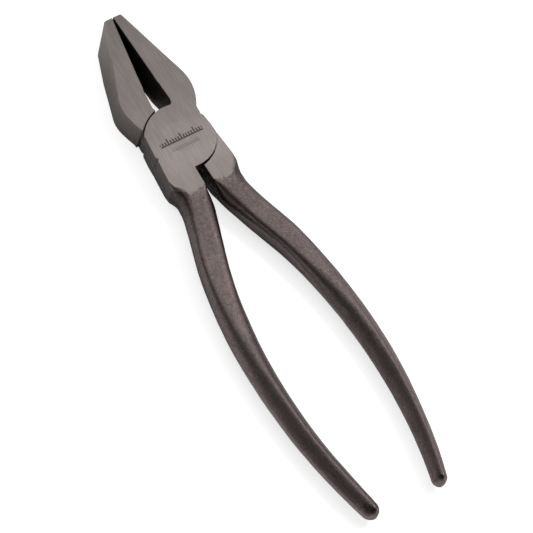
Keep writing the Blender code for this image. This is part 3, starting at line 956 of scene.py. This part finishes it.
class PLIERS_OT_halves(bpy.types.Operator):
    """Build the two forged halves, with jaws, laps and handles"""

    bl_idname = "pliers.halves"
    bl_label = "Forged halves"

    def execute(self, context):
        sizes = context.scene.pliers_sizes
        finish = context.scene.pliers_finish
        thick = sizes.head_thickness / MM
        material = steel("Forged and ground steel", steel_groups(), finish, True)
        middle = thick / 2
        for node, side, low, high, seed in (("upper_half", 1.0, middle + LAP_GAP / 2, thick, 11),
                                            ("lower_half", -1.0, 0.0, middle - LAP_GAP / 2, 31)):
            piece = make_half(node + "_skin", node, side, sizes, low, high, seed)
            piece.data.materials.clear()
            piece.data.materials.append(material)
            finish_piece(piece, node, node)
        return {"FINISHED"}


class PLIERS_OT_rivet(bpy.types.Operator):
    """Build the flush rivet that joins the halves"""

    bl_idname = "pliers.rivet"
    bl_label = "Pivot rivet"

    def execute(self, context):
        sizes = context.scene.pliers_sizes
        thick = sizes.head_thickness / MM
        points, faces = lathe(rivet_outline(sizes, thick, 0.0), ROUND_STEPS)
        piece = add_piece("pivot_rivet_skin", points, faces)
        material = steel("Ground steel", steel_groups(), context.scene.pliers_finish, False)
        piece.data.materials.append(material)
        finish_piece(piece, "upper_half", "pivot_rivet")
        return {"FINISHED"}


class PLIERS_OT_stage(bpy.types.Operator):
    """Lay the pale floor, and set the soft lights and the camera"""

    bl_idname = "pliers.stage"
    bl_label = "Stage"

    def execute(self, context):
        reach = 3.0
        mesh = bpy.data.meshes.new("floor")
        corners = [(-reach, -reach, 0.0), (reach, -reach, 0.0), (reach, reach, 0.0), (-reach, reach, 0.0)]
        mesh.from_pydata(corners, [], [(0, 1, 2, 3)])
        mesh.materials.append(floor_material(context.scene.pliers_finish))
        floor = bpy.data.objects.new("floor", mesh)
        context.scene.collection.objects.link(floor)
        make_world()
        add_softbox("key_softbox", KEY_DIRECTION, 0.2, 1.35)
        add_softbox("end_softbox", END_DIRECTION, 0.3, 0.3)
        data = bpy.data.cameras.new("camera")
        data.lens = CAMERA_LENS
        data.sensor_width = 36.0
        camera = bpy.data.objects.new("camera", data)
        camera.matrix_world = aimed(TARGET + TOWARD_CAMERA * CAMERA_DISTANCE, TARGET, CAMERA_ROLL)
        context.scene.collection.objects.link(camera)
        context.scene.camera = camera
        context.scene.view_settings.view_transform = "Standard"
        return {"FINISHED"}


class PLIERS_PT_panel(bpy.types.Panel):
    """Sizes, colours and the buttons that build the tool"""

    bl_idname = "PLIERS_PT_panel"
    bl_label = "Lineman Pliers"
    bl_space_type = "VIEW_3D"
    bl_region_type = "UI"
    bl_category = "Pliers"

    def draw(self, context):
        layout = self.layout
        for group in (context.scene.pliers_sizes, context.scene.pliers_finish):
            box = layout.box()
            for name in group.bl_rna.properties.keys():
                if name not in ("rna_type", "name"):
                    box.prop(group, name)
        for operator in OPERATORS:
            layout.operator(operator.bl_idname)


OPERATORS = (PLIERS_OT_halves, PLIERS_OT_rivet, PLIERS_OT_stage)
CLASSES = (PliersSizes, PliersFinish, *OPERATORS, PLIERS_PT_panel)


def register():
    """Registers the classes and hangs the settings on the scene."""
    for one in CLASSES:
        bpy.utils.register_class(one)
    bpy.types.Scene.pliers_sizes = bpy.props.PointerProperty(type=PliersSizes)
    bpy.types.Scene.pliers_finish = bpy.props.PointerProperty(type=PliersFinish)


def unregister():
    """Takes the settings off the scene and unregisters the classes."""
    del bpy.types.Scene.pliers_sizes
    del bpy.types.Scene.pliers_finish
    for one in reversed(CLASSES):
        bpy.utils.unregister_class(one)


def main():
    register()
    bpy.ops.pliers.halves()
    bpy.ops.pliers.rivet()
    bpy.ops.pliers.stage()


if __name__ == "__main__":
    main()
